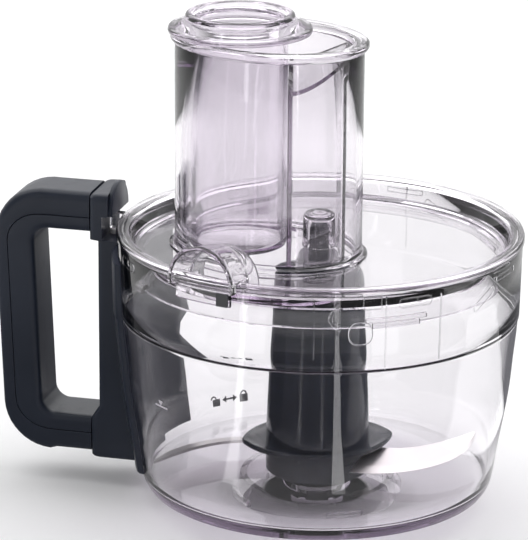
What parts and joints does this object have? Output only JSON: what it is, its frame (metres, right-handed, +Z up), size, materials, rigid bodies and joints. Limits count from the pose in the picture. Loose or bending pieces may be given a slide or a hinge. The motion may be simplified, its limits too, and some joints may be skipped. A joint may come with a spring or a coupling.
{
  "type": "food processor",
  "caption": "Clear food-processor bowl with a dark side handle, bayonet lid, oval feed tube with nested pushers, and a curved-blade knife on a driven spindle.",
  "frame": {"origin": "on the drive axis, at the underside of the bayonet collar that the bowl stands on", "axes": "+Z up along the drive axis; -Y is the front with the lid tab; the handle points to -X, turned 13 degrees towards +Y"},
  "size_m": [0.2496, 0.19, 0.2356],
  "materials": {
    "clear_plastic": "gloss",
    "lilac_plastic": "gloss",
    "navy_plastic": "satin",
    "dark_plastic": "matte",
    "white_plastic": "matte",
    "seal_rubber": "matte",
    "print_ink": "matte",
    "steel": "brushed",
    "blade_steel": "satin"
  },
  "bodies": {
    "bowl_body": {"bowl": "clear_plastic", "bayonet_collar": "clear_plastic", "spindle_bush": "dark_plastic", "spindle_seal": "seal_rubber", "lock_marks": "print_ink", "level_mark": "print_ink", "handle_spine": "navy_plastic", "handle_frame": "navy_plastic", "handle_cover": "navy_plastic", "thumb_plate": "navy_plastic", "rod_spring": "steel", "rod_guide": "dark_plastic"},
    "interlock": {"interlock_rod": "white_plastic"},
    "drive": {"drive_spindle": "steel", "spindle_clip": "steel", "drive_coupling": "dark_plastic"},
    "knife": {"spindle_cap": "navy_plastic", "knife_hub": "navy_plastic", "hub_cap": "navy_plastic", "blade_carrier": "navy_plastic", "lower_blade": "blade_steel", "upper_blade": "blade_steel"},
    "lid_body": {"lid": "clear_plastic", "feed_tube": "clear_plastic", "tip_socket": "clear_plastic", "lid_tab": "clear_plastic", "lock_pointer": "dark_plastic"},
    "large_pusher_body": {"large_pusher": "clear_plastic", "pusher_flange": "clear_plastic", "pusher_chute": "clear_plastic"},
    "small_pusher_body": {"small_pusher": "lilac_plastic", "pusher_collar": "clear_plastic", "grip_ring": "lilac_plastic"}
  },
  "joints": [
    {"name": "lid_turn", "type": "hinge", "parent": "bowl_body", "child": "lid_body", "pos_m": [0, 0, 0.13], "axis": [0, 0, 1], "range_deg": [-20, 0]},
    {"name": "rod_travel", "type": "slide", "parent": "bowl_body", "child": "interlock", "axis": [0, 0, 1], "range_m": [0, 0.0035], "deforming": ["rod_spring"]},
    {"name": "drive_spin", "type": "hinge", "parent": "bowl_body", "child": "drive", "pos_m": [0, 0, 0], "axis": [0, 0, 1], "continuous": true},
    {"name": "knife_lift", "type": "slide", "parent": "drive", "child": "knife", "axis": [0, 0, 1], "range_m": [0, 0.0025]},
    {"name": "large_pusher_slide", "type": "slide", "parent": "lid_body", "child": "large_pusher_body", "axis": [0, 0, 1], "range_m": [0, 0.09]},
    {"name": "small_pusher_slide", "type": "slide", "parent": "large_pusher_body", "child": "small_pusher_body", "axis": [0, 0, 1], "range_m": [0, 0.09]}
  ],
  "couplings": [
    {"joint": "rod_travel", "follows": "lid_turn", "m_per_rad": -0.01}
  ]
}
